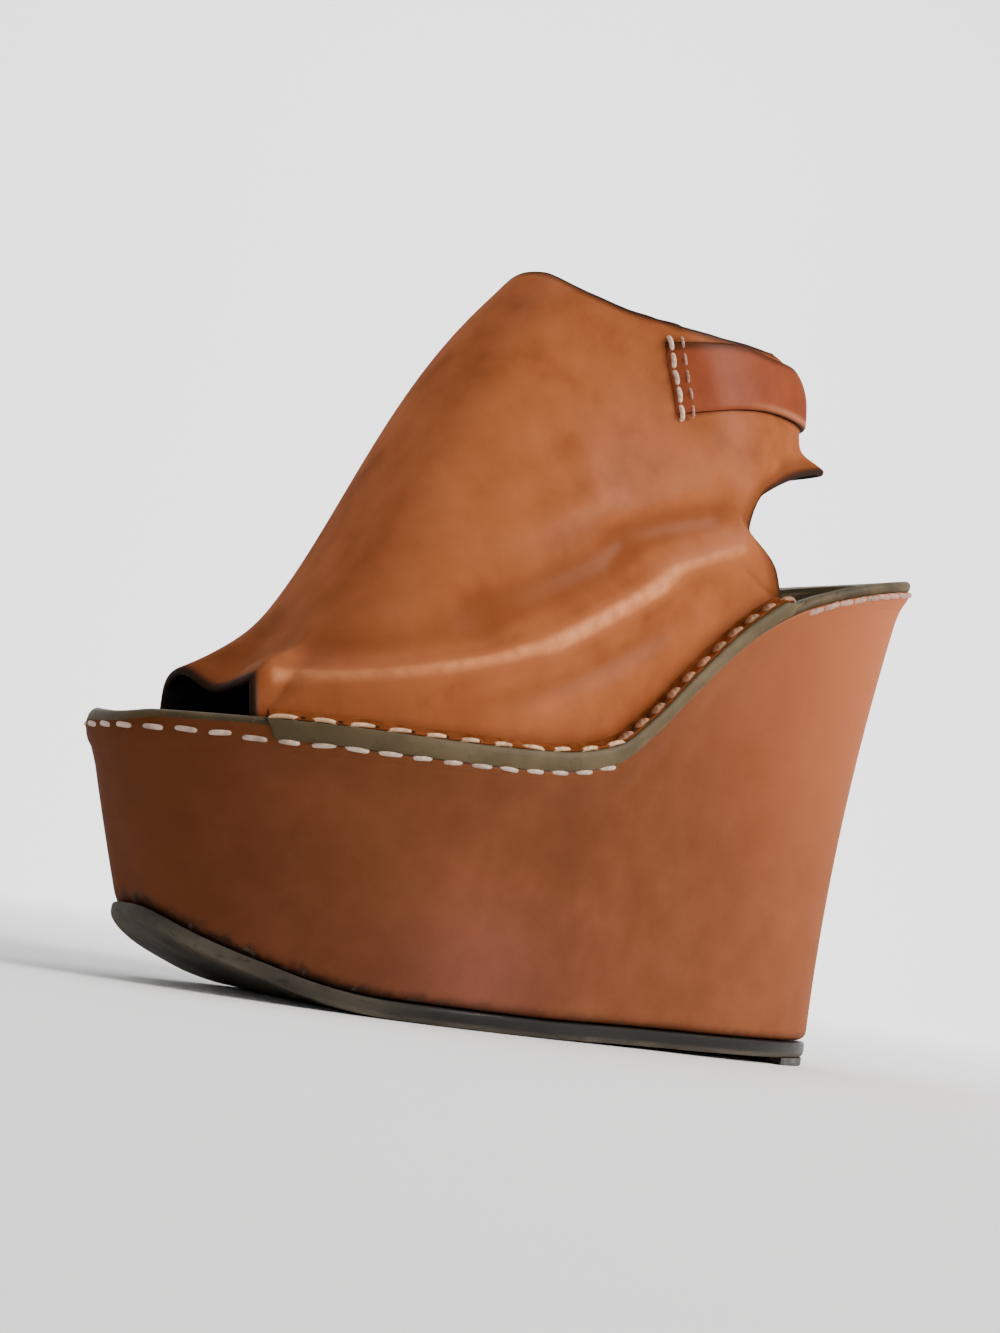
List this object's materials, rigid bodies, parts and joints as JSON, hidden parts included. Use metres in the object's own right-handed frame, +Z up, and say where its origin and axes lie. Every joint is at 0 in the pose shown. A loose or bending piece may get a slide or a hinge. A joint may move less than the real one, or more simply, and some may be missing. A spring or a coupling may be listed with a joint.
{
  "type": "platform wedge sandal",
  "caption": "High-heeled open-toe platform wedge sandal with a tall hollow leather vamp, cut-out sides and a sling band round the heel, left foot.",
  "frame": {"origin": "floor under the middle of the shoe's length and breadth", "axes": "+X from toe to heel, +Y to the inner side of the foot, +Z up from the floor"},
  "size_m": [0.24, 0.087, 0.195],
  "materials": {
    "sole": "worn dark grey, matte",
    "heel_rubber": "scuffed black",
    "wedge_cover": "smooth tan, waxed, stained along the bottom edge",
    "edge": "olive brown bound edge, satin",
    "sock": "dark worn lining, matte",
    "welt": "olive brown strip, satin",
    "upper": "smooth tan, waxed, softly creased",
    "strap": "reddish brown, waxed"
  },
  "bodies": {
    "root": {"outsole": "sole", "heel_tip": "heel_rubber", "wedge": "wedge_cover", "footbed": "edge", "insole": "sock", "welt_lateral": "welt", "welt_medial": "welt", "upper": "upper", "sling_tab": "strap"}
  },
  "joints": []
}
